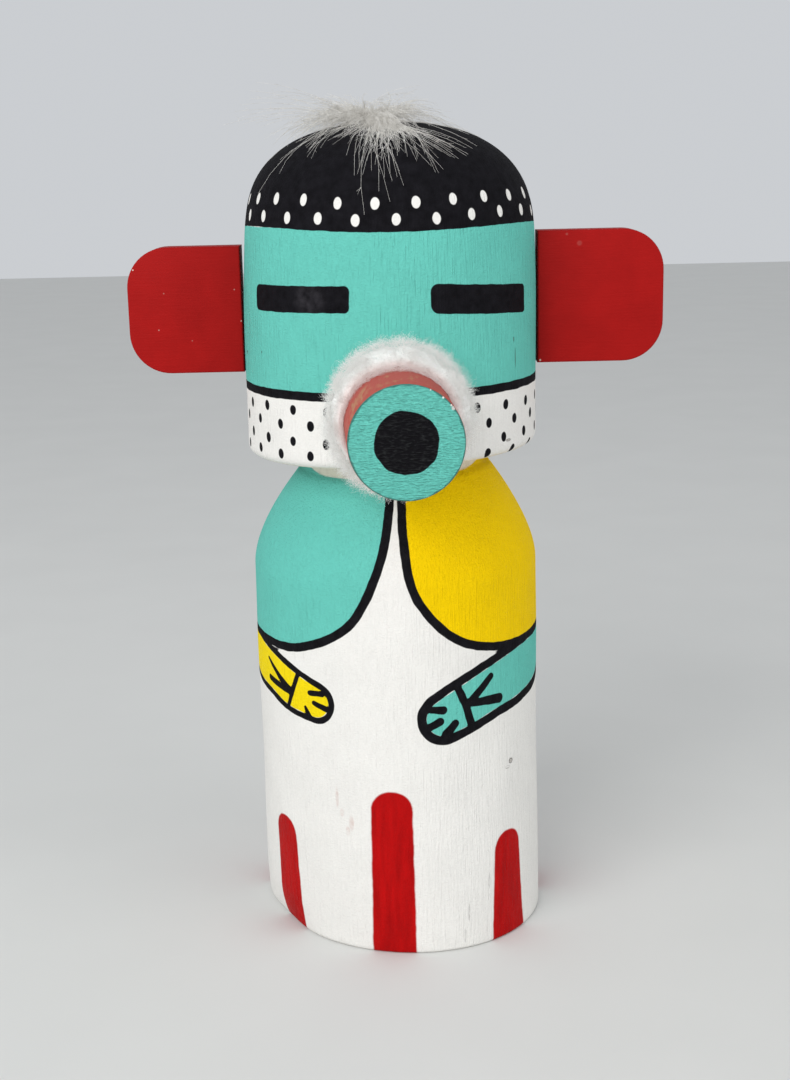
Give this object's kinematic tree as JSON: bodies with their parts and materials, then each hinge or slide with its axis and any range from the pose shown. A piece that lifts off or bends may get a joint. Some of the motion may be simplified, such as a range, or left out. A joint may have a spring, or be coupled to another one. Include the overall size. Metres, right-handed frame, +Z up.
{
  "type": "kachina doll",
  "caption": "Upright painted wooden kachina doll: one carved log for body and head, board ears, dowel snout in a wool ruff, and a down tuft on the crown.",
  "frame": {"origin": "middle of the flat underside, on the surface the doll stands on", "axes": "+Z up through the crown, -Y the way the face and snout point, +X towards the right ear as seen from in front"},
  "size_m": [0.168, 0.1351, 0.2689],
  "materials": {
    "painted_log": "matt acrylic paint",
    "ear_paint": "matt acrylic paint",
    "snout_paint": "matt acrylic paint",
    "wool": "raw wool",
    "down": "soft down"
  },
  "bodies": {
    "root": {"figure": "painted_log", "ear_left": "ear_paint", "ear_right": "ear_paint", "snout": "snout_paint", "wool_ruff": "wool", "feather_tuft": "down"}
  },
  "joints": []
}
